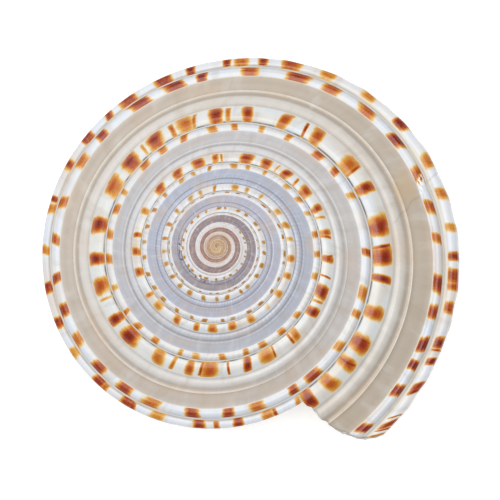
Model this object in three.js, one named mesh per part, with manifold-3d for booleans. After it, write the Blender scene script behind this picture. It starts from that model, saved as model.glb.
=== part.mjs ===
// Sundial shell: a low, coiled sea-snail shell that grew as one piece.
// Millimetres, +Z up. It lies on its base, as on a table, so its coiling axis leans a little.
//
// The skin is one closed surface. The spire is a spiral strip, each turn starting on the line where the turn
// before it ended, and the wall of the umbilicus (the open hollow of the base) is another. The last turn joins
// the two strips round its keel, and the mouth leads into a hollow that follows the coil.
import * as THREE from "three";
import { mergeVertices } from "three/addons/utils/BufferGeometryUtils.js";
import Module from "manifold-3d";

// Driving dimensions: lengths in millimetres, angles in degrees, distances along the coil in turns
const LIP_RADIUS = 29; // from the coiling axis to the keel, at the lip
const EARLY_EXPANSION = 1.65; // how much the shell grew in one turn when young
const SPIRE_EXPANSION = 1.495; // and in one turn later
const LIP_EXPANSION = 1.381; // and at the lip, growth having slowed over the last turn
const EARLY_TURN = -3.2; // the young growth ends here, counted from 0 at the lip
const SPIRE_TURNS = 6;
const UMBILICUS_TURNS = 4;
const MOUTH_TURNS = 1; // how far behind the lip the shell is hollow
const WALL = 1.0;
const LIP_WALL = 0.6;
const CALLUS = 0.2; // glaze over the turn before, inside the mouth
const LIP_DIRECTION = -62; // where the lip leaves the suture, seen from above
const LIP_LAG = 11.5; // how far the lip trails at the keel
const LIP_LAG_TURNS = 0.12; // the stretch behind the lip that takes up this lag
const OUT_OF_ROUND = 0.024; // how much wider the coil is across its lean than along it
const LEAN = 9.2; // of the coiling axis, when the shell lies on its base
const LEAN_DIRECTION = 134.5;
const WORN_DEPTH = 0.2; // worn flat where the base touches the table
const CRENAE_PER_TURN = 27; // beads round the umbilicus
const FADE_TURNS = 0.1; // the stretch behind the lip over which the umbilicus's cord and beads fade out

// Facets
const STEPS_PER_TURN = 54; // two for each bead
const MOUTH_STEP = 3; // the hollow needs only every third step
const FINE_TURNS = 2; // the last turns have the most facets across them
const MIDDLE_TURNS = 3;

// Section of a turn, as [distance from the axis, height] in shares of the keel's radius, below a sharp apex at [0, 0]
const GROOVE = new THREE.Vector2(0.946, -0.511); // above the keel: the next turn's suture runs in it
const NAVEL = new THREE.Vector2(0.378, -0.812); // groove outside the crenae: the next turn's inner seam runs in it
const BASE_LINE = new THREE.SplineCurve([
  GROOVE,
  new THREE.Vector2(0.985, -0.548),
  new THREE.Vector2(0.93, -0.632),
  new THREE.Vector2(0.8, -0.715),
  new THREE.Vector2(0.62, -0.785),
  new THREE.Vector2(0.475, -0.815),
  NAVEL,
]);
const APEX_BLUNTNESS = 0.027; // the tip is this much lower than a sharp cone's
const APEX_RADIUS = 0.06; // and blunt within about this radius
const NAVEL_EDGE = new THREE.Vector2(0.318, -0.795);
const NAVEL_WALL_HOLLOW = 0.012;
const NAVEL_TOP_SHARE = 0.9; // height of the umbilicus's top, as a share of its first turn's groove
const MOUTH_CENTRE = new THREE.Vector2(0.64, -0.62);
const LAG_START_RADIUS = 0.66;

// Spiral cords of the spire, from suture to groove, and of the base, from groove to navel
const SPIRE_CORDS = [
  { at: 0.13, half: 0.16, rise: 0.018 }, // band below the suture
  { at: 0.385, half: 0.08, rise: 0.009 },
  { at: 0.545, half: 0.035, rise: 0.007 },
  { at: 0.7, half: 0.14, rise: -0.004 }, // the broad plain band is slightly hollow
  { at: 0.905, half: 0.065, rise: 0.017 }, // upper cord of the edge
];
const KEEL_CORDS = [
  { at: 0.06, half: 0.06, rise: 0.016 }, // keel
  { at: 0.16, half: 0.04, rise: 0.01 }, // cord below the keel
];
const NAVEL_CORDS = [{ at: 0.93, half: 0.06, rise: 0.016 }]; // cord round the umbilicus
const CRENAE_CORDS = [{ at: 0.87, half: 0.13, rise: 0.022 }]; // beaded cord on the umbilicus's edge

// Where each strip has points across it: fewer on the small early turns
const SPIRE_COLUMNS = [0, 0.06, 0.13, 0.2, 0.28, 0.385, 0.46, 0.545, 0.6, 0.84, 0.905, 0.97, 1];
const SPIRE_COLUMNS_MIDDLE = [0, 0.13, 0.28, 0.385, 0.46, 0.84, 0.905, 1];
const SPIRE_COLUMNS_EARLY = [0, 0.13, 0.84, 0.905, 1];
const SPIRE_COLUMNS_FIRST = [0, 0.5, 1];
const BASE_COLUMNS = [0, 0.03, 0.06, 0.1, 0.125, 0.16, 0.2, 0.35, 0.5, 0.65, 0.8, 0.87, 0.93, 1];
const NAVEL_COLUMNS = [0, 0.4, 0.74, 0.8, 0.87, 1];
const NAVEL_COLUMNS_EARLY = [0, 0.5, 0.87, 1];
const BAND_CREST = SPIRE_COLUMNS.indexOf(0.2); // the wall of the mouth starts here, past the suture
const KEEL_CREST = BASE_COLUMNS.indexOf(0.06); // and ends here, on the keel of the turn before
const HOLLOW_CORNER = BASE_COLUMNS.indexOf(0.8); // inside, the turn before shows only as far as this

const { degToRad, clamp } = THREE.MathUtils;

// Growth: the keel's radius at a turn (0 at the lip, -1 one turn earlier) as a share of its radius at the lip
function sizeAt(turn) {
  const slowing = Math.log(SPIRE_EXPANSION / LIP_EXPANSION);
  const late = Math.max(turn, -1);
  const middle = clamp(turn, EARLY_TURN, -1);
  const early = Math.min(turn, EARLY_TURN);
  const lateGrowth = Math.log(LIP_EXPANSION) * late - (slowing * late * late) / 2;
  const middleGrowth = Math.log(SPIRE_EXPANSION) * (middle + 1);
  const earlyGrowth = Math.log(EARLY_EXPANSION) * (early - EARLY_TURN);
  return Math.exp(lateGrowth + middleGrowth + earlyGrowth);
}

function reliefAt(at, cords) {
  return cords.reduce((sum, cord) => {
    const across = clamp((at - cord.at) / cord.half, -1, 1);
    return sum + cord.rise * (1 - across * across) ** 2;
  }, 0);
}

// A tangent turned to point out of the shell
const outwardOf = (tangent) => new THREE.Vector2(-tangent.y, tangent.x).normalize();

// The spire's first turn runs in from a point
const spireGrown = (turn) => sizeAt(turn) * clamp(turn + SPIRE_TURNS, 0, 1);

function spirePoint(turn, at) {
  const suture = GROOVE.clone().multiplyScalar(spireGrown(turn - 1));
  const groove = GROOVE.clone().multiplyScalar(spireGrown(turn));
  const across = groove.clone().sub(suture);
  const rise = reliefAt(at, SPIRE_CORDS) * spireGrown(turn);
  const point = suture.addScaledVector(across, at).addScaledVector(outwardOf(across), rise);
  point.y -= APEX_BLUNTNESS * Math.exp(-point.x / APEX_RADIUS);
  return point;
}

// How much is left, near the lip, of the cord and beads round the umbilicus
const navelRelief = (turn) => clamp(-turn / FADE_TURNS, 0, 1);

function basePoint(turn, at) {
  const rise = reliefAt(at, KEEL_CORDS) + reliefAt(at, NAVEL_CORDS) * navelRelief(turn);
  const point = BASE_LINE.getPointAt(at).addScaledVector(outwardOf(BASE_LINE.getTangentAt(at)), rise);
  return point.multiplyScalar(sizeAt(turn));
}

// The top of the umbilicus, and a section point that runs out from it over the umbilicus's first turn
const NAVEL_TOP = new THREE.Vector2(0, NAVEL.y * sizeAt(1 - UMBILICUS_TURNS) * NAVEL_TOP_SHARE);
function navelGrown(turn, point) {
  const grown = clamp(turn + UMBILICUS_TURNS, 0, 1);
  return NAVEL_TOP.clone().lerp(point.clone().multiplyScalar(sizeAt(turn)), grown);
}

function navelPoint(turn, at) {
  const seam = navelGrown(turn - 1, NAVEL);
  const edge = navelGrown(turn, NAVEL_EDGE);
  const middle = seam.clone().lerp(edge, 0.5);
  middle.x += NAVEL_WALL_HOLLOW * edge.x;
  const wall = new THREE.SplineCurve([seam, middle, edge, navelGrown(turn, NAVEL)]);
  const bead = 0.5 + 0.5 * Math.cos(2 * Math.PI * CRENAE_PER_TURN * turn);
  const rise = (reliefAt(at, CRENAE_CORDS) * bead * navelRelief(turn) * edge.x) / NAVEL_EDGE.x;
  return wall.getPoint(at).addScaledVector(outwardOf(wall.getTangent(at)), -rise);
}

// The lip trails towards the keel, so near the lip a point sits a little further back along the coil
function laggedTurn(turn, point) {
  const share = clamp((point.x / sizeAt(turn) - LAG_START_RADIUS) / (1 - LAG_START_RADIUS), 0, 1);
  const near = clamp(1 + turn / LIP_LAG_TURNS, 0, 1);
  return turn - (LIP_LAG / 360) * share * near;
}

// A section function evaluated where the lip's lag puts it
function grownAt(pointAt, turn, at) {
  const lagged = laggedTurn(turn, pointAt(turn, at));
  return { turn: lagged, point: pointAt(lagged, at) };
}

// A section point in space, in the shell's own frame: the coil runs clockwise, seen from above
function placed({ turn, point }) {
  const angle = degToRad(LIP_DIRECTION) - 2 * Math.PI * turn;
  const radius = point.x * LIP_RADIUS;
  return new THREE.Vector3(radius * Math.cos(angle), radius * Math.sin(angle), point.y * LIP_RADIUS);
}

// The same point moved towards the middle of the mouth, by the thickness of the wall
function insideWall({ turn, point }, centreTurn, wall) {
  const inward = MOUTH_CENTRE.clone().multiplyScalar(sizeAt(centreTurn)).sub(point).normalize();
  return { turn, point: point.clone().addScaledVector(inward, wall / LIP_RADIUS) };
}

// Vertices and triangles of the skin
class Skin {
  points = [];
  triangles = [];

  add(point) {
    this.points.push(point);
    return this.points.length - 1;
  }

  triangle(a, b, c) {
    if (a !== b && b !== c && c !== a) this.triangles.push(a, b, c);
  }

  // Joins two rows of points, each { id, at }, that may have different numbers of points
  bridge(rowA, rowB) {
    let a = 0;
    let b = 0;
    while (a < rowA.length - 1 || b < rowB.length - 1) {
      const nextA = a < rowA.length - 1 ? rowA[a + 1].at : Infinity;
      const nextB = b < rowB.length - 1 ? rowB[b + 1].at : Infinity;
      if (nextA <= nextB) {
        this.triangle(rowA[a].id, rowB[b].id, rowA[a + 1].id);
        a += 1;
      } else {
        this.triangle(rowA[a].id, rowB[b].id, rowB[b + 1].id);
        b += 1;
      }
    }
  }

  geometry() {
    const geometry = new THREE.BufferGeometry().setFromPoints(this.points);
    return geometry.setIndex(this.triangles);
  }
}

function spireColumns(turn) {
  if (turn >= -FINE_TURNS) return SPIRE_COLUMNS;
  if (turn >= -MIDDLE_TURNS) return SPIRE_COLUMNS_MIDDLE;
  return turn >= 1 - SPIRE_TURNS ? SPIRE_COLUMNS_EARLY : SPIRE_COLUMNS_FIRST;
}

const turnOf = (step) => step / STEPS_PER_TURN;

// One row of a strip: its first point may already be in the skin
function stripRow(skin, pointAt, turn, columns, firstId) {
  return columns.map((at, column) => {
    const id = column === 0 ? firstId : skin.add(placed(grownAt(pointAt, turn, at)));
    return { id, at };
  });
}

// A spiral strip: rows by step, counted from 0 at the lip back to a single point where the coil begins
function spiralStrip(skin, pointAt, turns, columnsAt) {
  const firstStep = -turns * STEPS_PER_TURN;
  const startId = skin.add(placed({ turn: -turns, point: pointAt(-turns, 0) }));
  const rows = new Map([[firstStep, columnsAt(-turns).map((at) => ({ id: startId, at }))]]);
  for (let step = firstStep + 1; step <= 0; step += 1) {
    const turnBefore = rows.get(step - STEPS_PER_TURN);
    const firstId = turnBefore ? turnBefore.at(-1).id : startId;
    rows.set(step, stripRow(skin, pointAt, turnOf(step), columnsAt(turnOf(step)), firstId));
  }
  return rows;
}

// A row turned end for end, and a row moved on in its order
const reversed = (row) => row.map(({ id, at }) => ({ id, at: 1 - at })).reverse();
const shifted = (row, by) => row.map(({ id, at }) => ({ id, at: at + by }));

// The last turn's base: it shares its edges with the two strips
function baseRow(skin, step, spire, navel) {
  return BASE_COLUMNS.map((at, column) => {
    if (column === 0) return { id: spire.get(step).at(-1).id, at };
    if (column === BASE_COLUMNS.length - 1) return { id: navel.get(step).at(-1).id, at };
    return { id: skin.add(placed(grownAt(basePoint, turnOf(step), at))), at };
  });
}

// Places round the mouth run 0 to 1 under the spire, 1 to 2 over the base, 2 to 3 up the umbilicus's wall, and
// 3 to 4 back along the base of the turn before
const PLACES_ROUND_MOUTH = 4;
const closed = (ring) => [...ring, ...shifted(ring.slice(0, 1), PLACES_ROUND_MOUTH)];

// One ring of the hollow
function hollowRing(skin, turn, wall) {
  const inside = (spot, thickness) => skin.add(placed(insideWall(spot, turn, thickness)));
  const stretch = (pointAt, columns) =>
    columns.map((at) => ({ id: inside(grownAt(pointAt, turn, at), wall), at }));
  const parietal = BASE_COLUMNS.slice(KEEL_CREST, HOLLOW_CORNER + 1).map((at) => {
    const spot = { turn: turn - 1, point: basePoint(turn - 1, at) };
    return { id: inside(spot, CALLUS), at };
  });
  return closed([
    ...stretch(spirePoint, SPIRE_COLUMNS.slice(BAND_CREST)),
    ...shifted(stretch(basePoint, BASE_COLUMNS.slice(1, -1)), 1),
    ...shifted(reversed(stretch(navelPoint, NAVEL_COLUMNS)), 2),
    ...shifted(reversed(parietal), 3),
  ]);
}

// The lip's face and the hollow behind it
function buildMouth(skin, spire, base, navel) {
  const lip = spire.get(0);
  const parietal = base.get(-STEPS_PER_TURN);
  skin.bridge(lip.slice(0, BAND_CREST + 1), parietal.slice(0, KEEL_CREST + 1));
  let ring = closed([
    ...lip.slice(BAND_CREST),
    ...shifted(base.get(0).slice(1, -1), 1),
    ...shifted(reversed(navel.get(0)), 2),
    ...shifted(reversed(parietal.slice(KEEL_CREST, -1)), 3),
  ]);
  for (let step = 0; step <= MOUTH_TURNS * STEPS_PER_TURN; step += MOUTH_STEP) {
    const deeper = hollowRing(skin, turnOf(-step), step === 0 ? LIP_WALL : WALL);
    skin.bridge(ring, deeper);
    ring = deeper;
  }
  const endPoint = MOUTH_CENTRE.clone().multiplyScalar(sizeAt(-MOUTH_TURNS));
  const endId = skin.add(placed({ turn: -MOUTH_TURNS, point: endPoint }));
  for (let k = 0; k < ring.length - 1; k += 1) skin.triangle(ring[k].id, endId, ring[k + 1].id);
}

// The whole skin in the shell's own frame, with the coiling axis along Z
function shellGeometry() {
  const skin = new Skin();
  const spire = spiralStrip(skin, spirePoint, SPIRE_TURNS, spireColumns);
  const navel = spiralStrip(skin, navelPoint, UMBILICUS_TURNS, (turn) =>
    turn >= -FINE_TURNS ? NAVEL_COLUMNS : NAVEL_COLUMNS_EARLY,
  );
  for (let step = 1 - SPIRE_TURNS * STEPS_PER_TURN; step <= 0; step += 1) {
    skin.bridge(spire.get(step - 1), spire.get(step));
    if (navel.has(step - 1)) skin.bridge(reversed(navel.get(step - 1)), reversed(navel.get(step)));
  }
  const base = new Map();
  for (let step = -STEPS_PER_TURN; step <= 0; step += 1) {
    base.set(step, baseRow(skin, step, spire, navel));
    if (base.has(step - 1)) skin.bridge(base.get(step - 1), base.get(step));
  }
  buildMouth(skin, spire, base, navel);
  return skin.geometry();
}

// Grown slightly out of round, then leant until it lies on its base
function restingMatrix() {
  const towards = degToRad(LEAN_DIRECTION);
  const across = new THREE.Vector3(-Math.sin(towards), Math.cos(towards), 0);
  const turned = new THREE.Matrix4().makeRotationZ(towards);
  const oval = new THREE.Matrix4().makeScale(1 - OUT_OF_ROUND / 2, 1 + OUT_OF_ROUND / 2, 1);
  return new THREE.Matrix4()
    .makeRotationAxis(across, degToRad(LEAN))
    .multiply(turned)
    .multiply(oval)
    .multiply(turned.clone().invert());
}

const wasm = await Module();
wasm.setup();

function solidOf(geometry) {
  const bare = geometry.clone();
  bare.deleteAttribute("normal");
  bare.deleteAttribute("uv");
  const merged = mergeVertices(bare);
  return new wasm.Manifold(
    new wasm.Mesh({
      numProp: 3,
      vertProperties: merged.getAttribute("position").array,
      triVerts: new Uint32Array(merged.index.array),
    }),
  );
}

function geometryOf(solid) {
  const { vertProperties, triVerts } = solid.getMesh();
  const geometry = new THREE.BufferGeometry();
  geometry.setAttribute("position", new THREE.BufferAttribute(vertProperties, 3));
  return geometry.setIndex(new THREE.BufferAttribute(triVerts, 1));
}

// Stands a geometry on z = 0, cut off flat by the worn depth and centred over the origin
function wornAndCentred(geometry) {
  geometry.computeBoundingBox();
  const { min, max } = geometry.boundingBox;
  geometry.translate(-(min.x + max.x) / 2, -(min.y + max.y) / 2, -min.z - WORN_DEPTH);
  const block = new THREE.BoxGeometry(4 * LIP_RADIUS, 4 * LIP_RADIUS, LIP_RADIUS);
  block.translate(0, 0, -LIP_RADIUS / 2);
  return geometryOf(solidOf(geometry).subtract(solidOf(block)));
}

const shell = new THREE.Mesh(
  wornAndCentred(shellGeometry().applyMatrix4(restingMatrix())),
  new THREE.MeshStandardMaterial({ color: 0xd3c5b3, roughness: 0.35, metalness: 0 }),
);
shell.name = "shell";
shell.geometry.computeVertexNormals();

const part = new THREE.Group();
part.add(shell);

export default part;
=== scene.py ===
"""A sundial shell lying on its base, seen straight down its spire."""
import math
from collections import namedtuple

import bpy
import numpy as np
from mathutils import Matrix, Vector


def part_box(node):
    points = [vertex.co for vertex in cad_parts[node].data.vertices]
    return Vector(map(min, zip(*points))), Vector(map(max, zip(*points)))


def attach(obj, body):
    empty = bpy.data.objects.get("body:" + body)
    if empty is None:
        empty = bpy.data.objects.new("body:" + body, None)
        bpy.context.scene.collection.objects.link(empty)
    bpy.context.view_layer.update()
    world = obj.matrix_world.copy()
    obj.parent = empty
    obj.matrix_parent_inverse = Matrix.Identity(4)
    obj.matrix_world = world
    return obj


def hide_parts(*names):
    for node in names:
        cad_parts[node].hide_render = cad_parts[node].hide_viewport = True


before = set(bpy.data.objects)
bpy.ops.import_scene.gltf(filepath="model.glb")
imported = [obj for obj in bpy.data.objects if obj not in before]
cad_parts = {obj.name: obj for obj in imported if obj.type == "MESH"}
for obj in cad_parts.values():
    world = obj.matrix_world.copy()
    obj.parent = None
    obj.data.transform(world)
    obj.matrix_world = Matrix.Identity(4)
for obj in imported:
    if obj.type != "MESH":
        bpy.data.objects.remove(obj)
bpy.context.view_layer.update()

# Growth: lengths are shares of the keel's radius at the lip, places along the coil are turns, 0 at the lip
EARLY_EXPANSION = 1.65
SPIRE_EXPANSION = 1.495
LIP_EXPANSION = 1.381
EARLY_TURN = -3.2
SPIRE_TURNS = 9
UMBILICUS_TURNS = 5
MOUTH_TURNS = 1
OUT_OF_ROUND = 0.024
LEAN = math.radians(9.2)
LEAN_DIRECTION = math.radians(134.5)

# Walls and wear: millimetres, over the keel's radius in millimetres
KEEL_MILLIMETRES = 29
WALL = 1.0 / KEEL_MILLIMETRES
LIP_WALL = 0.6 / KEEL_MILLIMETRES
CALLUS = 0.2 / KEEL_MILLIMETRES
WORN_DEPTH = 0.2 / KEEL_MILLIMETRES

# Lip: it trails towards the keel, and its edge is chipped
LIP_DIRECTION = math.radians(-62)
LIP_LAG = 10.3 / 360
LIP_LAG_TURNS = 0.12
LAG_START_RADIUS = 0.66
LAG_BEND = 1.6
KEEL_LAG = 0.28
KEEL_LAG_SHARE = (0.86, 1)
LIP_CHIPS = 0.6 / 360
CHIP_WAVES = (11, 27)
CHIP_SHARPNESS = 3
CHIP_TURNS = 0.012

# Healed break across the last turn, with growth pinched before it and the keel flared after it
SCAR_TURN = -0.203
SCAR_PLACE = 0.37
SCAR_SLANT = -0.044
SCAR_JAG = 0.001
SCAR_JAG_WAVE = 30
SCAR_DEPTH = 0.008
SCAR_LEAST = 0.25
SCAR_DEEPENING = (0.5, 0.9)
SCAR_BASE_FADE = (0.3, 0)
SCAR_RECOVERY = 0.02
SCAR_EDGE = 0.002
CRUSH_DEPTH = 0.009
CRUSH_PAST = -0.004
CRUSH_TURNS = 0.007
CRUSH_PLACE = 0.88
CRUSH_WIDTH = 0.05
PINCH = 0.022
PINCH_TURN = -0.455
PINCH_TURNS = 0.11
FLARE = 0.019
FLARE_TURN = -0.2
FLARE_TURNS = 0.1

# Section of a turn: distance from the axis and height, below a sharp apex at (0, 0)
GROOVE = np.array((0.946, -0.511))
LAST_GROOVE = np.array((0.958, -0.5175))
LAST_GROOVE_TURNS = (-1.15, -0.85)
NAVEL = np.array((0.378, -0.812))
NAVEL_EDGE = np.array((0.318, -0.795))
MOUTH_CENTRE = np.array((0.64, -0.62))
BASE_CONTROLS = (
    LAST_GROOVE,
    (0.985, -0.548),
    (0.93, -0.632),
    (0.8, -0.715),
    (0.62, -0.785),
    (0.475, -0.815),
    NAVEL,
)
BASE_SAMPLES = 1201
APEX_BLUNTNESS = 0.027
APEX_RADIUS = 0.06
NAVEL_WALL_HOLLOW = 0.012
NAVEL_TOP_SHARE = 0.9

# Spiral cords and grooves: where each one is across its strip, half its width, and how far it rises
Cord = namedtuple("Cord", "at half rise")
SPIRE_CORDS = (
    Cord(0.13, 0.16, 0.018),
    Cord(0.385, 0.08, 0.009),
    Cord(0.542, 0.024, 0.007),
    Cord(0.7, 0.14, -0.004),
    Cord(0.885, 0.085, 0.015),
    Cord(0.966, 0.01, -0.003),
    Cord(0.98, 0.012, 0.003),
    Cord(1.0, 0.012, -0.006),
    Cord(0.0, 0.02, -0.006),
)
KEEL_CORDS = (Cord(0.06, 0.06, 0.016), Cord(0.16, 0.04, 0.01))
NAVEL_CORDS = (Cord(0.93, 0.06, 0.016),)
CRENAE_CORDS = (Cord(0.87, 0.13, 0.022),)
CRENAE_PER_TURN = 27
NAVEL_FADE = (0, -0.1)

# How the cords shift: closer in on older turns, further out on the newest, and the keel waves a little
OLDER_SHIFT = 0.046
OLDER_START = (-0.8, -1.2)
OLDER_END = (-3.6, -2.8)
NEWEST_SHIFT = (Cord(0.8, 0.17, 0.03),)
NEWEST_START = (-0.4, -0.2)
KEEL_SWELL = (Cord(0.07, 0.07, 1.0),)
KEEL_WAVE = 0.0016
KEEL_WAVE_LEAST = 0.2
KEEL_WAVE_TURNS = (-0.5, -0.3)
KEEL_WAVES = ((31, 0), (47, 1))

# Mesh
STEPS_PER_TURN = 348
MOUTH_STEP = 6
BAND_CREST = 0.19
KEEL_CREST = 0.055
HOLLOW_CORNER = 0.8
STRIPS_ROUND = 4
INSIDE = 5
CLOSEST_COLUMNS = 1 / 8
SAME_PLACE = 1e-9
TANGENT_STEP = 1e-4
SHORTEST = 1e-12

# Spots: rounded blots in rows along the coil, crowded together near the lip
CROWDING_TURN = -0.3
CROWDING = 1.1
# A row has its centre and half width across, how rounded its spots are, how many there are to a turn, where
# its chances start, the least and most half length of a spot, how soft its edge is, its least depth of
# colour, the share of spots that show, and the turns where the row is full and where it ends
SpotRow = namedtuple(
    "SpotRow", "centre half round per_turn seed narrow wide soft faint present youngest oldest"
)
SPOT_ROWS = (
    SpotRow(0.12, 0.145, 1.0, 25, 7.0, 0.13, 0.32, 0.6, 0.55, 1.0, -0.8, -4.3),
    SpotRow(0.12, 0.12, 0.8, 30, 131.0, 0.05, 0.1, 0.7, 0.35, 0.5, -0.3, -1.6),
    SpotRow(0.885, 0.075, 0.3, 29, 17.0, 0.13, 0.28, 0.5, 0.55, 0.97, -0.3, -4.3),
    SpotRow(1.055, 0.056, 0.2, 29, 17.25, 0.11, 0.23, 0.5, 0.35, 0.97, -0.5, -2.0),
    SpotRow(1.055, 0.05, 0.2, 37, 157.0, 0.07, 0.16, 0.6, 0.4, 0.5, -0.5, -2.0),
    SpotRow(1.16, 0.03, 0.4, 44, 67.0, 0.1, 0.22, 0.4, 0.4, 0.8, -0.5, -2.0),
    SpotRow(1.93, 0.05, 0.5, 30, 83.0, 0.1, 0.26, 0.4, 0.4, 0.85, -0.5, -2.0),
)
SPOT_JITTER = 0.4
SPOT_SLANT = 0.12
SPOT_TAPER = 0.35
SPOT_RAGGED = 0.5
SPOT_ROUNDING = 3.0
SPOT_CORE = 1.5
SPOT_SIDES = (1.1, 0.9)
SPOT_INNER = 0.96
SPOT_OUTWARD = 0.14
SPOT_CHANCE_EDGE = 0.02
SPOT_FULL_DEPTH = 0.8
SPOT_OLD_STRENGTH = 0.5
SPOT_FADE_TURNS = 1.6
SPOT_END_TURNS = 0.3
SPOT_NARROWING = 0.2
SPOT_NARROWING_TURNS = (-1.0, -1.6)
SPOT_AGED_TURNS = (-2.4, -3.4)
SPOT_AGED_SHRINK = 0.45
SPOT_GRAIN = 0.5
SPOT_STRIAE = 0.55
STRIAE_START = (0.7, 0.8)
SPOT_EDGE = (0.0, 0.26)
SPOT_OLD_TURNS = (-1.8, -3.0)
SPOT_OLD_SHARE = 0.7
SPOT_OLD_COLOUR = (178, 132, 70)

# Colours along the coil or across a turn: a place and a display colour, 0 to 255
SPOT_STOPS = (
    (0.0, (240, 228, 196)),
    (0.16, (232, 196, 118)),
    (0.34, (214, 148, 52)),
    (0.56, (190, 92, 18)),
    (0.8, (152, 50, 10)),
    (1.0, (116, 26, 12)),
)
PALE_STOPS = (
    (-8.0, (214, 178, 128)),
    (-6.8, (208, 172, 136)),
    (-5.7, (232, 214, 206)),
    (-4.6, (228, 226, 231)),
    (-3.6, (226, 227, 230)),
    (-2.5, (230, 231, 234)),
    (-1.2, (231, 233, 233)),
    (0.0, (230, 232, 230)),
)
BAND_STOPS = (
    (-8.0, (202, 162, 112)),
    (-6.6, (180, 142, 112)),
    (-5.6, (158, 122, 112)),
    (-4.4, (150, 136, 142)),
    (-3.8, (160, 156, 166)),
    (-3.3, (190, 191, 205)),
    (-2.4, (181, 188, 204)),
    (-1.2, (203, 199, 197)),
    (-0.7, (202, 191, 179)),
    (0.0, (192, 180, 164)),
)
EDGE_STOPS = (
    (-2.0, (220, 217, 216)),
    (-1.0, (227, 232, 239)),
    (0.0, (224, 229, 236)),
)
BASE_STOPS = (
    (1.0, (188, 176, 164)),
    (1.014, (230, 234, 240)),
    (1.11, (230, 234, 240)),
    (1.125, (165, 152, 138)),
    (1.14, (236, 235, 230)),
    (1.18, (234, 232, 226)),
    (1.21, (206, 194, 178)),
    (1.6, (216, 206, 190)),
    (1.84, (222, 214, 201)),
    (1.87, (196, 184, 168)),
    (1.89, (236, 232, 226)),
    (1.97, (236, 232, 226)),
    (2.0, (170, 156, 140)),
)
NAVEL_STOPS = (
    (2.0, (170, 156, 140)),
    (2.06, (238, 235, 229)),
    (2.2, (238, 235, 229)),
    (2.28, (190, 174, 155)),
    (2.6, (206, 191, 172)),
    (2.97, (190, 174, 155)),
    (3.0, (146, 130, 114)),
)

# How light each place across the spire is, against the pale or the band colour there: the band's own
# lighter and darker lines, with painted highlights on the cords' crests and painted shade in the grooves
# and in the crease of the suture
LINE_AND_PAINTED_LIGHT_STOPS = (
    # Painted shade in the crease of the suture
    (0.0, 0.08),
    (0.01, 0.3),
    (0.022, 1.0),
    (0.255, 0.98),
    (0.285, 0.95),
    (0.325, 1.02),
    (0.365, 1.08),
    (0.42, 1.03),
    # Painted shade in the groove below the thin cord, then a painted highlight along the thin cord's crest
    (0.465, 0.9),
    (0.505, 0.88),
    (0.524, 1.06),
    (0.536, 1.16),
    (0.546, 1.12),
    (0.556, 0.98),
    (0.64, 1.06),
    (0.72, 0.98),
    (0.77, 1.04),
    (0.8, 1.06),
    (0.825, 1.0),
    (0.956, 0.98),
    # Painted shade in the groove above the keel and at the suture, with the pale thread between them
    (0.965, 0.6),
    (0.974, 1.04),
    (0.988, 1.1),
    (1.0, 0.3),
)
# A ramp holds 0 to 1, so levels are divided by this in it and multiplied again after it
SHADE_RANGE = 2
SHADE_WARMTH = (0.0, 0.08, 0.16)
SHADE_TURNS = (-3.6, -4.6)

# Where the colours change: each fade starts at the first value and ends at the second
BAND_START = (0.25, 0.29)
BAND_FULL = (0.43, 0.47)
BAND_END = (0.82, 0.79)
BAND_FIRST = 0.55
BAND_EVEN_TURNS = (-1.2, -2.4)
EDGE_START = (0.8, 0.83)
EDGE_TURNS = (-2.5, -1.0)
SPIRE_END = (0.999, 1.001)
BASE_END = (1.999, 2.001)
INSIDE_START = (3.9, 4.1)
INSIDE_COLOUR = (238, 232, 222)

# Lines round the coil: where each one is, half its width and how soft its edges are
Line = namedtuple("Line", "at half soft")
OLD_GROOVES = (Line(0.295, 0.008, 0.03), Line(0.482, 0.008, 0.03))
OLD_GROOVE_LEAST = 0.1
OLD_GROOVE_GAIN = 0.68
OLD_GROOVE_TURNS = (-0.9, -2.4)
OLD_GROOVE_END = (-4.7, -4.2)
OLD_GROOVE_COLOUR = (94, 102, 132)
THREAD = Line(0.541, 0.006, 0.012)
THREAD_TURNS = (-2.4, -1.4)
THREAD_SHARE = 0.7
THREAD_COLOUR = (240, 235, 217)
OLD_SUTURE = (0.26, 0.06)
OLD_SUTURE_TURNS = (-5.0, -6.2)
OLD_SUTURE_SHARE = 0.9
OLD_SUTURE_COLOUR = (122, 80, 48)
APEX_TURNS = (-8.0, -8.6)
APEX_SHARE = 0.7
APEX_COLOUR = (96, 74, 50)
KEEL_GROOVE = Line(0.985, 0.012, 0.02)
KEEL_GROOVE_TURNS = (-1.1, -0.8)
WIDE_GROOVE = Line(0.99, 0.026, 0.016)
WIDE_GROOVE_TURNS = (-0.42, -0.26)
KEEL_GROOVE_SHARE = 0.6
KEEL_GROOVE_COLOUR = (226, 217, 198)

# Clouds: waves to a unit along and across, where in the noise they start, and their detail
Cloud = namedtuple("Cloud", "along across start detail")
SPOT_GRAIN_CLOUD = Cloud(700, 60, (0, 0), 1.0)
STRIAE_CLOUD = Cloud(40, 190, (0, 0), 1.0)
RAGGED_CLOUD = Cloud(4, 1.4, (0, 0), 2.0)
TINT_CLOUD = Cloud(30, 7, (0, 31), 2.0)
STREAK_CLOUD = Cloud(70, 2, (0, 0), 3.0)
GROWTH_CLOUD = Cloud(420, 3, (0, 0), 2.0)
BLOTCH_CLOUD = Cloud(14, 2.5, (0, 9), 2.0)
FRAGMENT_CLOUD = Cloud(260, 36, (0, 0), 1.0)
PIT_CLOUD = Cloud(62, 6, (0, 0), 1.0)
FLECK_CLOUD = Cloud(80, 8, (17, 5), 1.0)

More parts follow.
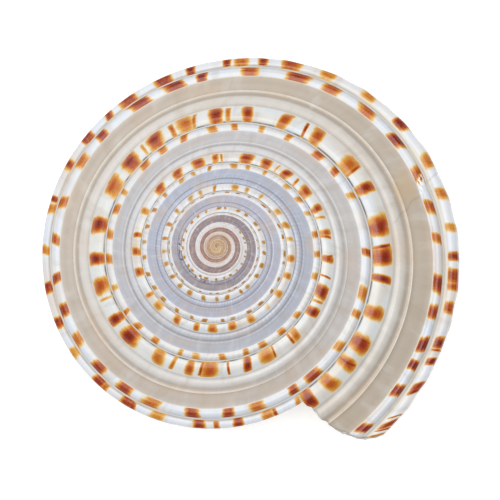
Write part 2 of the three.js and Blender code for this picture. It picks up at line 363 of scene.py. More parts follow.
# Marks of growth: warm and cool tints, streaks and blotches, each where its cloud is in a range
Mark = namedtuple("Mark", "where share colour")
WHITE_BAND_END = (0.28, 0.24)
WHITE_KEEL_END = (1.2, 1.15)
WARM_TINT = Mark((0.5, 0.7), 0.4, (238, 231, 216))
COOL_TINT = Mark((0.48, 0.3), 0.4, (216, 227, 243))
STREAK_SLANT = 0.012
DARK_STREAK = Mark((0.52, 0.75), 0.28, (184, 166, 146))
PALE_STREAK = Mark((0.48, 0.25), 0.2, (240, 238, 236))
BLOTCH = Mark((0.48, 0.75), 0.35, (212, 186, 160))
GROWTH_LINE_TONE = 0.04
RIBLETS_PER_TURN = 120
RIBLET_TONE = 0.045
RIBLET_TURNS = (-1.3, -2.4)
RIBLET_LEAST = 0.25
RIBLET_OLD_TURNS = (-3.8, -4.2)
BEADED_LINES = (Line(0.385, 0.06, 0.04), Line(0.534, 0.02, 0.02), Line(0.93, 0.06, 0.03))

# Marks of damage: stain, line and fragments of the healed break, and pits and flecks near the centre
STAIN_PAST = Line(-0.016, 0.014, 0.02)
STAIN_PLACE = Line(0.63, 0.14, 0.06)
STAIN_SPREAD = 0.02
STAIN_SHARE = 0.6
STAIN_COLOUR = (204, 176, 138)
BREAK_PAST = Line(0.0, 0.0006, 0.0025)
BREAK_PLACE = Line(0.75, 0.42, 0.06)
BREAK_SHARE = 0.3
BREAK_COLOUR = (150, 126, 102)
FRAGMENT_PAST = Line(CRUSH_PAST, 0.005, 0.005)
FRAGMENT_PLACE = Line(CRUSH_PLACE, 0.07, 0.02)
FRAGMENT_RANGE = (0.42, 0.5)
FRAGMENT_COLOUR = (250, 250, 250)
WORN_TURN = Line(-3.74, 0.14, 0.12)
PIT_PLACE = Line(0.36, 0.09, 0.08)
PIT_RANGE = (0.6, 0.66)
PIT_GROOVE = Line(0.3, 0.012, 0.03)
PIT_GROOVE_SHARE = 0.8
PIT_SHARE = 0.85
PIT_COLOUR = (70, 64, 78)
FLECK_PLACE = Line(0.27, 0.08, 0.08)
FLECK_RANGE = (0.62, 0.68)
FLECK_COLOUR = (244, 246, 250)

# Gloss and fine relief
GLOSS = 0.17
STREAK_ROUGHNESS = 0.14
PIT_ROUGHNESS = 0.3
FRAGMENT_ROUGHNESS = 0.2
SPECULAR = 0.3
RELIEF_STRENGTH = 0.14
RELIEF_METRES = 0.0001
RIBLET_RELIEF = 0.5

# Studio: distances are in keel radii, and the camera is placed from the apex
LIGHT_GAIN = 1.3
SoftLight = namedtuple("SoftLight", "name direction distance size watts")
SOFT_LIGHTS = (
    SoftLight("overhead", (-0.04, 0.06, 1), 34, 26, 7.6),
    SoftLight("key", (-0.8, 0.9, 1.1), 26, 12, 1.0),
)
WORLD_STRENGTH = 0.45
WHITE = (1, 1, 1, 1)
FLOOR_COLOUR = (0.96, 0.96, 0.96, 1)
FLOOR_ROUGHNESS = 0.8
FLOOR_GLOW = 0.25
FLOOR_REACH = 40
FLOOR_GAP = 1 / 2000
CAMERA_OFFSET = (0.1352, -0.0138, 16)
CAMERA_CLIP = (0.1, 200)
PHOTO_HALF_WIDTH = 250
PHOTO_KEEL_RADIUS = 244.6


# Growth and section
def risen(value, start, end):
    """0 before start, 1 after end, and even between; start may be the larger."""
    return np.clip((value - start) / (end - start), 0, 1)


def swell(value, centre, width):
    return np.exp(-(((value - centre) / width) ** 2))


def size_at(turn):
    """The keel's radius at a turn, 1 at the lip: growth slows over the last turn."""
    late = np.maximum(turn, -1)
    middle = np.clip(turn, EARLY_TURN, -1)
    early = np.minimum(turn, EARLY_TURN)
    slowing = math.log(SPIRE_EXPANSION / LIP_EXPANSION)
    late_growth = math.log(LIP_EXPANSION) * late - slowing * late**2 / 2
    middle_growth = math.log(SPIRE_EXPANSION) * (middle + 1)
    early_growth = math.log(EARLY_EXPANSION) * (early - EARLY_TURN)
    pinch = PINCH * swell(turn, PINCH_TURN, PINCH_TURNS)
    return np.exp(late_growth + middle_growth + early_growth - pinch)


def relief(at, cords):
    total = np.zeros_like(at)
    for cord in cords:
        across = np.clip((at - cord.at) / cord.half, -1, 1)
        total += cord.rise * (1 - across**2) ** 2
    return total


def outward(tangents):
    normals = np.stack((-tangents[:, 1], tangents[:, 0]), axis=1)
    return normals / np.maximum(np.linalg.norm(normals, axis=1, keepdims=True), SHORTEST)


def spline(controls, places):
    """Points of a smooth curve through the controls, at places from 0 to 1."""
    controls = np.array(controls)
    last = len(controls) - 1
    along = np.clip(places, 0, 1) * last
    first = np.minimum(along.astype(int), last - 1)
    share = (along - first)[:, None]
    before = controls[np.maximum(first - 1, 0)]
    start = controls[first]
    end = controls[first + 1]
    after = controls[np.minimum(first + 2, last)]
    leave = (end - before) / 2
    arrive = (after - start) / 2
    cubic = 2 * start - 2 * end + leave + arrive
    square = -3 * start + 3 * end - 2 * leave - arrive
    return cubic * share**3 + square * share**2 + leave * share + start


BASE_LINE = spline(BASE_CONTROLS, np.linspace(0, 1, BASE_SAMPLES))
BASE_TANGENTS = np.gradient(BASE_LINE, axis=0)
BASE_LENGTHS = np.concatenate(((0,), np.cumsum(np.linalg.norm(np.diff(BASE_LINE, axis=0), axis=1))))
BASE_SHARES = BASE_LENGTHS / BASE_LENGTHS[-1]
NAVEL_TOP = np.array((0, NAVEL[1] * size_at(1 - UMBILICUS_TURNS) * NAVEL_TOP_SHARE))


def along_base(table, at):
    return np.stack([np.interp(at, BASE_SHARES, column) for column in table.T], axis=1)


def spire_grown(turn):
    return size_at(turn) * risen(turn, -SPIRE_TURNS, 1 - SPIRE_TURNS)


def pattern_place(turn, at):
    """Where the cords and colours of a place across the spire are taken from."""
    older = risen(turn, *OLDER_START) * risen(turn, *OLDER_END)
    newest = risen(turn, *NEWEST_START)
    return at + OLDER_SHIFT * older * 4 * at * (1 - at) - newest * relief(at, NEWEST_SHIFT)


def groove_at(turn):
    last = risen(turn, *LAST_GROOVE_TURNS)[:, None]
    return (GROOVE + (LAST_GROOVE - GROOVE) * last) * spire_grown(turn)[:, None]


def past_scar(turn, place, jag):
    """How far along the coil a place is past the healed break, whose line is slanted and jagged."""
    return turn - SCAR_TURN - (place - SCAR_PLACE) * SCAR_SLANT + jag * SCAR_JAG


def scar_drop(turn, place):
    """The surface steps down across the break, recovers after it, and is crushed at one cord."""
    past = past_scar(turn, place, np.sin(SCAR_JAG_WAVE * place))
    fade = np.where(past > 0, past / SCAR_RECOVERY, -past / SCAR_EDGE)
    deepening = SCAR_LEAST + (1 - SCAR_LEAST) * risen(place, *SCAR_DEEPENING)
    crush = swell(past, CRUSH_PAST, CRUSH_TURNS) * swell(place, CRUSH_PLACE, CRUSH_WIDTH)
    return SCAR_DEPTH * np.exp(-fade) * deepening + CRUSH_DEPTH * crush


def spire_points(turn, at):
    suture = groove_at(turn - 1)
    across = groove_at(turn) - suture
    rise = relief(pattern_place(turn, at), SPIRE_CORDS) * spire_grown(turn) - scar_drop(turn, at)
    points = suture + across * at[:, None] + outward(across) * rise[:, None]
    points[:, 1] -= APEX_BLUNTNESS * np.exp(-points[:, 0] / APEX_RADIUS)
    return points


def keel_swell(turn):
    """How far the keel is flared or waved at a turn."""
    flare = FLARE * swell(turn, FLARE_TURN, FLARE_TURNS)
    wave = sum(np.sin(math.tau * count * turn + phase) for count, phase in KEEL_WAVES)
    return flare + KEEL_WAVE * wave * np.maximum(risen(turn, *KEEL_WAVE_TURNS), KEEL_WAVE_LEAST)


def base_points(turn, at):
    rise = relief(at, KEEL_CORDS) + relief(at, NAVEL_CORDS) * risen(turn, *NAVEL_FADE)
    rise = rise + keel_swell(turn) * relief(at, KEEL_SWELL)
    rise = rise - scar_drop(turn, 1 + at) * risen(at, *SCAR_BASE_FADE)
    points = along_base(BASE_LINE, at) + outward(along_base(BASE_TANGENTS, at)) * rise[:, None]
    return points * size_at(turn)[:, None]


def navel_grown(turn, point):
    grown = risen(turn, -UMBILICUS_TURNS, 1 - UMBILICUS_TURNS)
    return NAVEL_TOP + (point * size_at(turn) - NAVEL_TOP) * grown


def navel_points(turns, at):
    turn = turns[0]
    seam = navel_grown(turn - 1, NAVEL)
    edge = navel_grown(turn, NAVEL_EDGE)
    middle = (seam + edge) / 2 + (NAVEL_WALL_HOLLOW * edge[0], 0)
    wall = (seam, middle, edge, navel_grown(turn, NAVEL))
    tangents = spline(wall, at + TANGENT_STEP) - spline(wall, at - TANGENT_STEP)
    bead = 0.5 + 0.5 * math.cos(math.tau * CRENAE_PER_TURN * turn)
    rise = relief(at, CRENAE_CORDS) * bead * risen(turn, *NAVEL_FADE) * edge[0] / NAVEL_EDGE[0]
    return spline(wall, at) - outward(tangents) * rise[:, None]


def lagged(turn, points):
    """The turn that each point is really at, since the lip trails towards the keel and is chipped."""
    share = risen(points[:, 0] / size_at(turn), LAG_START_RADIUS, 1)
    lag = LIP_LAG * (share**LAG_BEND + KEEL_LAG * risen(share, *KEEL_LAG_SHARE) ** 2)
    bites = [np.maximum(0, np.sin(wave * share + wave)) ** CHIP_SHARPNESS for wave in CHIP_WAVES]
    chips = LIP_CHIPS * sum(bites)
    return turn - lag * risen(turn, -LIP_LAG_TURNS, 0) - chips * risen(turn, -CHIP_TURNS, 0)


def grown_at(points_at, turn, at):
    """Section points of one row, with the turn that the lip's lag puts each one at."""
    turns = np.full(len(at), float(turn))
    later = lagged(turns, points_at(turns, at))
    return later, points_at(later, at)


def placed(turns, points):
    angles = LIP_DIRECTION - math.tau * turns
    return np.stack((points[:, 0] * np.cos(angles), points[:, 0] * np.sin(angles), points[:, 1]), axis=1)


def inside_wall(points, centre_turn, wall):
    inward = MOUTH_CENTRE * size_at(centre_turn) - points
    return points + inward / np.linalg.norm(inward, axis=1, keepdims=True) * wall


# Skin
# A corner's place across is 0 to 1 on the spire, 1 to 2 on the base, 2 to 3 up the wall of the umbilicus
# and 3 to 4 back along the turn before
Corner = namedtuple("Corner", "vertex turn place")


class Skin:
    """Points, faces, and the turn and place of every face's corners."""

    def __init__(self):
        self.points = []
        self.faces = []
        self.coil = []

    def add(self, points):
        first = len(self.points)
        self.points.extend(points)
        return range(first, len(self.points))

    def face(self, corners, inside):
        kept = [corner for k, corner in enumerate(corners) if corner.vertex != corners[k - 1].vertex]
        if len(kept) > 2:
            self.faces.append([corner.vertex for corner in kept])
            self.coil.extend((corner.turn, corner.place + INSIDE * inside) for corner in kept)

    def bridge(self, near, far, inside=False):
        """Faces between two rows, a triangle wherever only one of them has a corner."""
        a = 0
        b = 0
        while a < len(near) - 1 or b < len(far) - 1:
            next_a = near[a + 1].place if a < len(near) - 1 else math.inf
            next_b = far[b + 1].place if b < len(far) - 1 else math.inf
            step_a = int(next_a <= next_b + SAME_PLACE)
            step_b = int(next_b <= next_a + SAME_PLACE)
            self.face([near[a], *far[b : b + 1 + step_b], *near[a + 1 : a + 1 + step_a]], inside)
            a += step_a
            b += step_b


def columns(cords, spacing, detail):
    """Places across a strip: evenly spaced, and closer together on the cords."""
    even = np.linspace(0, 1, round(1 / spacing) + 1)
    offsets = np.linspace(-1, 1, 2 * detail + 1)
    fine = np.concatenate([cord.at + cord.half * offsets for cord in cords])
    both = np.sort(np.concatenate((even, fine[(fine > 0) & (fine < 1)])))
    closest = spacing * CLOSEST_COLUMNS
    kept = both[np.diff(both, prepend=-1) > closest]
    return np.concatenate((kept[kept < 1 - closest], (1,)))


# Columns from each turn on, fewer on the small early turns
SPIRE_COLUMNS = (
    (-2, columns(SPIRE_CORDS, 0.06, 3)),
    (-3, columns(SPIRE_CORDS, 0.08, 2)),
    (-4, columns(SPIRE_CORDS[:-2], 0.1, 2)),
    (-6, columns(SPIRE_CORDS[:-2], 0.15, 1)),
    (-SPIRE_TURNS, np.linspace(0, 1, 7)),
)
BASE_COLUMNS = columns(KEEL_CORDS + NAVEL_CORDS, 0.05, 4)
NAVEL_COLUMNS = (
    (-1.5, columns(CRENAE_CORDS, 0.1, 4)),
    (-UMBILICUS_TURNS, columns(CRENAE_CORDS, 0.2, 2)),
)


def columns_at(table, turn):
    return next(places for start, places in table if turn >= start)


def spiral_strip(skin, points_at, turns, table):
    """Rows of a strip by step, from the single point where the coil begins to the lip."""
    first_step = -turns * STEPS_PER_TURN
    start_at = columns_at(table, -turns)
    start = skin.add(placed(*grown_at(points_at, -turns, start_at))[:1])[0]
    rows = {first_step: [Corner(start, -turns, at) for at in start_at]}
    for step in range(first_step + 1, 1):
        turn = step / STEPS_PER_TURN
        at = columns_at(table, turn)
        before = rows.get(step - STEPS_PER_TURN)
        first = before[-1].vertex if before else start
        ids = [first, *skin.add(placed(*grown_at(points_at, turn, at))[1:])]
        rows[step] = [Corner(i, turn, place) for i, place in zip(ids, at)]
    return rows


def turned(row, start):
    """A row end for end, its places counted on from start."""
    return [Corner(corner.vertex, corner.turn, start + 1 - corner.place) for corner in reversed(row)]


def lowered(row):
    """A row of the base with its places counted from 0."""
    return [corner._replace(place=corner.place - 1) for corner in row]


def closed(ring):
    return ring + [ring[0]._replace(place=ring[0].place + STRIPS_ROUND)]


def base_row(skin, step, spire, navel):
    turn = step / STEPS_PER_TURN
    ids = skin.add(placed(*grown_at(base_points, turn, BASE_COLUMNS[1:-1])))
    ends = [spire[step][-1].vertex, *ids, navel[step][-1].vertex]
    return [Corner(i, turn, 1 + at) for i, at in zip(ends, BASE_COLUMNS)]


def hollow_ring(skin, turn, wall, parietal_at):
    """A ring of the hollow: inside the spire, the base and the umbilicus, and over the turn before."""

    def stretch(points_at, at, first, thickness, from_turn):
        later, points = grown_at(points_at, from_turn, at)
        ids = skin.add(placed(later, inside_wall(points, turn, thickness)))
        return [Corner(i, turn, first + place) for i, place in zip(ids, at)]

    spire_at = columns_at(SPIRE_COLUMNS, 0)
    navel_at = columns_at(NAVEL_COLUMNS, 0)
    return closed(
        stretch(spire_points, spire_at[spire_at > BAND_CREST], 0, wall, turn)
        + stretch(base_points, BASE_COLUMNS[1:-1], 1, wall, turn)
        + turned(stretch(navel_points, navel_at, 0, wall, turn), 2)
        + turned(stretch(base_points, parietal_at, 0, CALLUS, turn - 1), 3)
    )


def build_mouth(skin, spire, base, navel):
    """The lip's edge, and the hollow behind it, closed to a point."""
    lip = spire[0]
    parietal = lowered(base[-STEPS_PER_TURN])
    lip_start = next(k for k, corner in enumerate(lip) if corner.place > BAND_CREST)
    wall_start = next(k for k, corner in enumerate(parietal) if corner.place > KEEL_CREST)
    skin.bridge(lip[: lip_start + 1], parietal[: wall_start + 1], True)
    back = turned(parietal[wall_start:-1], 3)
    ring = closed(lip[lip_start:] + base[0][1:-1] + turned(navel[0], 2) + back)
    inside_at = BASE_COLUMNS[(BASE_COLUMNS > KEEL_CREST) & (BASE_COLUMNS <= HOLLOW_CORNER)]
    for step in range(0, MOUTH_TURNS * STEPS_PER_TURN + 1, MOUTH_STEP):
        deeper = hollow_ring(skin, -step / STEPS_PER_TURN, WALL if step else LIP_WALL, inside_at)
        skin.bridge(ring, deeper, True)
        ring = deeper
    end_point = MOUTH_CENTRE[None] * size_at(-MOUTH_TURNS)
    end = skin.add(placed(np.array((-MOUTH_TURNS,)), end_point))[0]
    for corner, following in zip(ring, ring[1:]):
        skin.face([corner, Corner(end, -MOUTH_TURNS, 0), following], True)


def build_skin():
    skin = Skin()
    spire = spiral_strip(skin, spire_points, SPIRE_TURNS, SPIRE_COLUMNS)
    navel = spiral_strip(skin, navel_points, UMBILICUS_TURNS, NAVEL_COLUMNS)
    for step in range(1 - SPIRE_TURNS * STEPS_PER_TURN, 1):
        skin.bridge(spire[step - 1], spire[step])
    for step in range(1 - UMBILICUS_TURNS * STEPS_PER_TURN, 1):
        skin.bridge(turned(navel[step - 1], 2), turned(navel[step], 2))
    base = {-STEPS_PER_TURN: base_row(skin, -STEPS_PER_TURN, spire, navel)}
    for step in range(1 - STEPS_PER_TURN, 1):
        base[step] = base_row(skin, step, spire, navel)
        skin.bridge(base[step - 1], base[step])
    build_mouth(skin, spire, base, navel)
    return skin


# Shell: grown slightly out of round, leant until it lies on its base, and fitted to the frame
def resting_matrix():
    turn = Matrix.Rotation(LEAN_DIRECTION, 3, "Z")
    oval = Matrix.Diagonal((1 - OUT_OF_ROUND / 2, 1 + OUT_OF_ROUND / 2, 1))
    axis = Vector((-math.sin(LEAN_DIRECTION), math.cos(LEAN_DIRECTION), 0))
    return np.array(Matrix.Rotation(LEAN, 3, axis) @ turn @ oval @ turn.inverted())


def fitted(points):
    """The points in the frame, worn flat where they rest, with the keel's radius and the floor's height."""
    low, high = (np.array(corner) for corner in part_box("shell"))
    own_low = points.min(axis=0)
    own_high = points.max(axis=0)
    scale = (high[0] - low[0]) / (own_high[0] - own_low[0])
    offset = (low + high) / 2 - (own_low + own_high) / 2 * scale
    offset[2] = low[2] - (own_low[2] + WORN_DEPTH) * scale
    points = points * scale + offset
    points[:, 2] = np.maximum(points[:, 2], low[2])
    return points, scale, low[2]


def link_object(name, data):
    made = bpy.data.objects.new(name, data)
    bpy.context.scene.collection.objects.link(made)
    return made


def shell_mesh(skin, points):
    """The skin as a mesh, with the turn and place of each corner kept as a map for the colours."""
    mesh = bpy.data.meshes.new("shell_skin")
    mesh.from_pydata(points.tolist(), [], skin.faces)
    coil = mesh.uv_layers.new(name="coil")
    coil_places = np.array(skin.coil, dtype=np.float32)
    on_spire = coil_places[:, 1] <= 1
    coil_places[on_spire, 1] = pattern_place(*coil_places[on_spire].T)
    coil.data.foreach_set("uv", coil_places.ravel())
    mesh.polygons.foreach_set("use_smooth", [True] * len(mesh.polygons))
    mesh.update()
    return mesh


skin = build_skin()
points, keel_radius, floor_height = fitted(np.array(skin.points) @ resting_matrix().T)
shell = link_object("shell_visual", shell_mesh(skin, points))

# Material: a small language for shader nodes
material = bpy.data.materials.new("patterned_shell")
material.use_nodes = True
nodes = material.node_tree.nodes
links = material.node_tree.links


def connect(value, socket):
    if isinstance(value, Field):
        links.new(value.socket, socket)
    else:
        socket.default_value = value


def node(kind, inputs=(), **settings):
    made = nodes.new(kind)
    for name, setting in settings.items():
        setattr(made, name, setting)
    for key, value in dict(inputs).items():
        connect(value, made.inputs[key])
    return made


def maths(operation, *values):
    return Field(node("ShaderNodeMath", enumerate(values), operation=operation).outputs[0])


class Field:
    """A value that varies over the surface."""

    def __init__(self, socket):
        self.socket = socket

    def __add__(self, other):
        return maths("ADD", self, other)

    def __sub__(self, other):
        return maths("SUBTRACT", self, other)

    def __rsub__(self, other):
        return maths("SUBTRACT", other, self)

    def __mul__(self, other):
        return maths("MULTIPLY", self, other)

    def __truediv__(self, other):
        return maths("DIVIDE", self, other)

    def __abs__(self):
        return maths("ABSOLUTE", self)

    __radd__ = __add__
    __rmul__ = __mul__


def smooth(value, start, end):
    """0 before start, 1 after end, and an even curve between; start may be the larger."""
    inputs = {"Value": value, "From Min": start, "From Max": end}
    return Field(node("ShaderNodeMapRange", inputs, interpolation_type="SMOOTHSTEP").outputs["Result"])


def within(value, line):
    """1 on a line, falling to 0 over its soft edges."""
    return smooth(abs(value - line.at), line.half + line.soft / 2, line.half - line.soft / 2)


def joined(x, y, z=0.0):
    return Field(node("ShaderNodeCombineXYZ", {"X": x, "Y": y, "Z": z}).outputs[0])


def noise(cloud, along, across):
    """An uneven value from 0 to 1, about a half on the whole."""
    start_along, start_across = cloud.start
    at = joined(along * cloud.along + start_along, across * cloud.across + start_across)
    inputs = {"Vector": at, "Scale": 1.0, "Detail": cloud.detail}
    return Field(node("ShaderNodeTexNoise", inputs, noise_dimensions="2D").outputs[0])


def colour(shade):
    """The surface's own colour that shows as this display colour in the studio's bright light.

    The display's standard curve is undone first."""
    shares = [channel / 255 for channel in shade]
    linear = [s / 12.92 if s <= 0.04045 else ((s + 0.055) / 1.055) ** 2.4 for s in shares]
    return tuple(channel / LIGHT_GAIN for channel in linear) + (1.0,)


def toned(level):
    """A light or dark level as a factor of each channel: the darker, the warmer."""
    share = level / SHADE_RANGE
    return tuple(share * min(1.0, 1 - warmth + warmth * level) for warmth in SHADE_WARMTH) + (1.0,)


def ramp(value, stops, shown):
    """A colour that goes through the stops, what each one holds turned into a colour by shown."""
    start = stops[0][0]
    reach = stops[-1][0] - start
    made = node("ShaderNodeValToRGB", {"Fac": (value - start) / reach})
    elements = made.color_ramp.elements
    while len(elements) < len(stops):
        elements.new(0.5)
    for element, (at, shade) in zip(elements, stops):
        element.position = (at - start) / reach
        element.color = shown(shade)
    return Field(made.outputs["Color"])


def mix(factor, first, second, blend="MIX"):
    made = node("ShaderNodeMix", data_type="RGBA", blend_type=blend)
    connect(factor, made.inputs[0])
    connect(first, made.inputs[6])
    connect(second, made.inputs[7])
    return Field(made.outputs[2])


def washed(ground, amount, shade):
    return mix(amount, ground, colour(shade))


def marked(ground, cloud, mark, limits=1.0):
    """A mark's colour over the ground, where the cloud is in the mark's range."""
    return washed(ground, limits * smooth(cloud, *mark.where) * mark.share, mark.colour)


# Fields that several parts of the material read
split = node("ShaderNodeSeparateXYZ")
links.new(node("ShaderNodeUVMap", uv_map="coil").outputs[0], split.inputs[0])
turn = Field(split.outputs[0])
place = Field(split.outputs[1])
slanted = turn - place * STREAK_SLANT
streaks = noise(STREAK_CLOUD, slanted, place)
growth_lines = noise(GROWTH_CLOUD, slanted, place)
near_lip = maths("MAXIMUM", turn - CROWDING_TURN, 0.0)
crowded = turn + CROWDING * near_lip * near_lip
aged = smooth(turn, *SPOT_AGED_TURNS)
past_break = past_scar(turn, place, maths("SINE", place * SCAR_JAG_WAVE))
fragments = within(past_break, FRAGMENT_PAST) * within(place, FRAGMENT_PLACE)
fragments = fragments * smooth(noise(FRAGMENT_CLOUD, turn, place), *FRAGMENT_RANGE)
worn = within(turn, WORN_TURN)
pits = within(place, PIT_PLACE) * smooth(noise(PIT_CLOUD, turn, place), *PIT_RANGE)
pits = maths("MAXIMUM", pits, within(place, PIT_GROOVE) * PIT_GROOVE_SHARE)
wide_groove = within(place, WIDE_GROOVE) * smooth(turn, *WIDE_GROOVE_TURNS)
beaded = sum(within(place, line) for line in BEADED_LINES)
riblets = maths("SINE", slanted * (math.tau * RIBLETS_PER_TURN)) * smooth(turn, *RIBLET_TURNS)
riblets = riblets * (RIBLET_LEAST + beaded + smooth(turn, *RIBLET_OLD_TURNS))


# Spots: each has a width, a depth of colour and a lean of its own
def rounded(first, second):
    """How far out a place is in a rounded block, 1 at its edge."""
    powers = maths("POWER", first, SPOT_ROUNDING) + maths("POWER", second, SPOT_ROUNDING)
    return maths("POWER", powers, 1 / SPOT_ROUNDING)


def spots_of(row):
    along = crowded * row.per_turn + row.seed
    inputs = {"W": along, "Scale": 1.0, "Randomness": SPOT_JITTER}
    cell = node("ShaderNodeTexVoronoi", inputs, voronoi_dimensions="1D")
    chance = node("ShaderNodeSeparateColor")
    links.new(cell.outputs["Color"], chance.inputs[0])
    breadth, depth, lean = (Field(output) for output in chance.outputs)
    lean = lean - 0.5
    width = breadth * (row.wide - row.narrow) + row.narrow
    width = width * (1 - SPOT_NARROWING * smooth(turn, *SPOT_NARROWING_TURNS))
    shrink = aged * (row.half * SPOT_AGED_SHRINK)
    across = (place - row.centre - shrink) / (row.half - shrink)
    offset = (along - Field(cell.outputs["W"]) + across * lean * SPOT_SLANT) / width
    ragged = noise(RAGGED_CLOUD._replace(start=(0, row.seed)), along, across) - 0.5
    out = rounded(abs(offset), abs(across) * row.round)
    out = out + ragged * SPOT_RAGGED + offset * lean * SPOT_TAPER
    block = smooth(out, 1 + row.soft, 1 - row.soft * SPOT_CORE) * smooth(abs(across), *SPOT_SIDES)
    block = block * (SPOT_INNER + SPOT_OUTWARD * across)
    missing = 1 - row.present
    shown = smooth(depth, missing, missing + SPOT_CHANCE_EDGE)
    strength = row.faint + (1 - row.faint) * smooth(depth, missing, SPOT_FULL_DEPTH)
    young = smooth(turn, row.youngest - SPOT_FADE_TURNS, row.youngest)
    young = SPOT_OLD_STRENGTH + (1 - SPOT_OLD_STRENGTH) * young
    present = smooth(turn, row.oldest - SPOT_END_TURNS, row.oldest + SPOT_END_TURNS)
    return block * strength * shown * young * present


def spot_depth():
    """How deep the spots' colour is at each place, with none in the wide groove or on broken pieces."""
    depth = 0.0
    for row in SPOT_ROWS:
        depth = maths("MAXIMUM", depth, spots_of(row))
    grain = noise(SPOT_GRAIN_CLOUD, turn, place) - 0.5
    striae = (noise(STRIAE_CLOUD, turn, place) - 0.5) * smooth(place, *STRIAE_START)
    depth = depth * (1 + SPOT_GRAIN * grain) * (1 + SPOT_STRIAE * striae)
    return depth * (1 - wide_groove) * (1 - fragments)


# Ground colour: pale cords and a plain band, both changing along the coil
def banded_spire():
    pale = ramp(turn, PALE_STOPS, colour)
    at_edge = smooth(place, *EDGE_START) * smooth(turn, *EDGE_TURNS)
    pale = mix(at_edge, pale, ramp(turn, EDGE_STOPS, colour))
    start = smooth(place, *BAND_START)
    end = smooth(place, *BAND_END)
    stepped = BAND_FIRST * start + (1 - BAND_FIRST) * smooth(place, *BAND_FULL)
    in_band = mix(smooth(turn, *BAND_EVEN_TURNS), stepped * end, start * end)
    # Painted highlights on the cords' crests and painted shade in the grooves and at the suture, with the
    # band's own lines, fading out on the oldest turns
    shade = mix(smooth(turn, *SHADE_TURNS), ramp(place, LINE_AND_PAINTED_LIGHT_STOPS, toned), toned(1.0))
    ground = mix(1.0, mix(in_band, pale, ramp(turn, BAND_STOPS, colour)), shade, "MULTIPLY")
    return mix(1.0, ground, (SHADE_RANGE, SHADE_RANGE, SHADE_RANGE, 1), "MULTIPLY")


def lined_spire():
    """The spire with its fine lines: dark grooves, a pale thread, and brown sutures on the oldest turns."""
    groove = sum(within(place, line) for line in OLD_GROOVES)
    groove = groove * (OLD_GROOVE_LEAST + OLD_GROOVE_GAIN * smooth(turn, *OLD_GROOVE_TURNS))
    ground = washed(banded_spire(), groove * smooth(turn, *OLD_GROOVE_END), OLD_GROOVE_COLOUR)
    thread = within(place, THREAD) * smooth(turn, *THREAD_TURNS)
    ground = washed(ground, thread * THREAD_SHARE, THREAD_COLOUR)
    suture = smooth(place, *OLD_SUTURE) * smooth(turn, *OLD_SUTURE_TURNS)
    ground = washed(ground, suture * OLD_SUTURE_SHARE, OLD_SUTURE_COLOUR)
    return washed(ground, smooth(turn, *APEX_TURNS) * APEX_SHARE, APEX_COLOUR)


def whole_ground():
    ground = mix(smooth(place, *SPIRE_END), lined_spire(), ramp(place, BASE_STOPS, colour))
    return mix(smooth(place, *BASE_END), ground, ramp(place, NAVEL_STOPS, colour))


# Marks over the ground colour
def tinted(ground):
    """Warm and cool tints of the white parts, and the cream groove above the keel."""
    tint = noise(TINT_CLOUD, turn, place)
    white_keel = smooth(place, *EDGE_START) * smooth(place, *WHITE_KEEL_END)
    white = smooth(place, *WHITE_BAND_END) + white_keel
    ground = marked(ground, tint, WARM_TINT, white)
    ground = marked(ground, tint, COOL_TINT, white)
    groove = within(place, KEEL_GROOVE) * smooth(turn, *KEEL_GROOVE_TURNS)
    groove = maths("MAXIMUM", groove, wide_groove)
    return washed(ground, groove * KEEL_GROOVE_SHARE, KEEL_GROOVE_COLOUR)


def streaked(ground):
    """Streaks, growth lines, riblets and blotches across the turns."""
    ground = marked(ground, streaks, DARK_STREAK)
    ground = marked(ground, streaks, PALE_STREAK)
    fine = 1 + RIBLET_TONE * riblets + GROWTH_LINE_TONE * (growth_lines - 0.5)
    ground = mix(1.0, ground, joined(fine, fine, fine), "MULTIPLY")
    return marked(ground, noise(BLOTCH_CLOUD, turn, place), BLOTCH)


def healed(ground):
    """The golden stain, the dark line and the pale fragments where a break healed."""
    stain = within(past_break + (streaks - 0.5) * STAIN_SPREAD, STAIN_PAST) * within(place, STAIN_PLACE)
    ground = washed(ground, stain * STAIN_SHARE, STAIN_COLOUR)
    line = within(past_break, BREAK_PAST) * within(place, BREAK_PLACE)
    ground = washed(ground, line * BREAK_SHARE, BREAK_COLOUR)
    return washed(ground, fragments, FRAGMENT_COLOUR)


def pitted(ground):
    """Dark pits and pale flecks on a worn stretch near the centre."""
    flecks = worn * within(place, FLECK_PLACE)
    flecks = flecks * smooth(noise(FLECK_CLOUD, turn, place), *FLECK_RANGE)
    ground = washed(ground, worn * pits * PIT_SHARE, PIT_COLOUR)
    return washed(ground, flecks, FLECK_COLOUR)


def spotted(ground):
    depth = spot_depth()
    older = smooth(turn, *SPOT_OLD_TURNS) * SPOT_OLD_SHARE
    pigment = washed(ramp(depth, SPOT_STOPS, colour), older, SPOT_OLD_COLOUR)
    return mix(smooth(depth, *SPOT_EDGE), ground, pigment)


def finish_surface():
    """Colour, gloss and fine relief: growth lines everywhere, and riblets on the older turns."""
    painted = spotted(pitted(healed(streaked(tinted(whole_ground())))))
    painted = washed(painted, smooth(place, *INSIDE_START), INSIDE_COLOUR)
    rough = GLOSS + STREAK_ROUGHNESS * streaks + PIT_ROUGHNESS * worn * pits
    rough = rough + FRAGMENT_ROUGHNESS * fragments
    height = growth_lines + riblets * RIBLET_RELIEF
    inputs = {"Strength": RELIEF_STRENGTH, "Distance": RELIEF_METRES, "Height": height}
    relief_node = node("ShaderNodeBump", inputs)
    surface = nodes["Principled BSDF"]
    connect(painted, surface.inputs["Base Color"])
    connect(rough, surface.inputs["Roughness"])
    connect(SPECULAR, surface.inputs["Specular IOR Level"])
    links.new(relief_node.outputs[0], surface.inputs["Normal"])


finish_surface()
shell.data.materials.append(material)

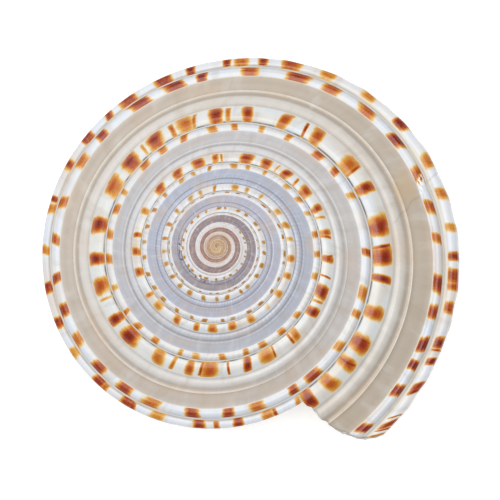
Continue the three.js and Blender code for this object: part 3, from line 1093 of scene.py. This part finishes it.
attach(shell, "root")
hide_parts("shell")


# Floor, light and camera
def pale_floor():
    reach = FLOOR_REACH * keel_radius
    height = floor_height - keel_radius * FLOOR_GAP
    corners = [(-reach, -reach), (reach, -reach), (reach, reach), (-reach, reach)]
    floor_mesh = bpy.data.meshes.new("floor")
    floor_mesh.from_pydata([(x, y, height) for x, y in corners], [], [(0, 1, 2, 3)])
    floor_material = bpy.data.materials.new("pale_floor")
    floor_material.use_nodes = True
    floor_inputs = floor_material.node_tree.nodes["Principled BSDF"].inputs
    floor_inputs["Base Color"].default_value = FLOOR_COLOUR
    floor_inputs["Roughness"].default_value = FLOOR_ROUGHNESS
    floor_inputs["Emission Color"].default_value = WHITE
    floor_inputs["Emission Strength"].default_value = FLOOR_GLOW
    floor_mesh.materials.append(floor_material)
    return link_object("floor", floor_mesh)


def soft_light(soft):
    light = bpy.data.lights.new(soft.name, "AREA")
    light.shape = "DISK"
    light.size = soft.size * keel_radius
    light.energy = soft.watts
    holder = link_object(soft.name, light)
    holder.location = Vector(soft.direction).normalized() * soft.distance * keel_radius
    holder.rotation_euler = (-holder.location).to_track_quat("-Z", "Y").to_euler()


def white_world():
    world = bpy.data.worlds.new("studio")
    world.use_nodes = True
    background = world.node_tree.nodes["Background"]
    background.inputs["Color"].default_value = WHITE
    background.inputs["Strength"].default_value = WORLD_STRENGTH
    bpy.context.scene.world = world
    bpy.context.scene.view_settings.view_transform = "Standard"


def camera_above(apex):
    """The photo looks straight down, centred a little off the apex."""
    lens = bpy.data.cameras.new("camera")
    half_width = PHOTO_HALF_WIDTH / PHOTO_KEEL_RADIUS
    lens.angle = 2 * math.atan(half_width / CAMERA_OFFSET[2])
    lens.clip_start, lens.clip_end = (distance * keel_radius for distance in CAMERA_CLIP)
    camera = link_object("camera", lens)
    camera.location = apex + Vector(CAMERA_OFFSET) * keel_radius
    return camera


floor = pale_floor()
for soft in SOFT_LIGHTS:
    soft_light(soft)
white_world()
bpy.context.scene.camera = camera_above(Vector(points[0]))
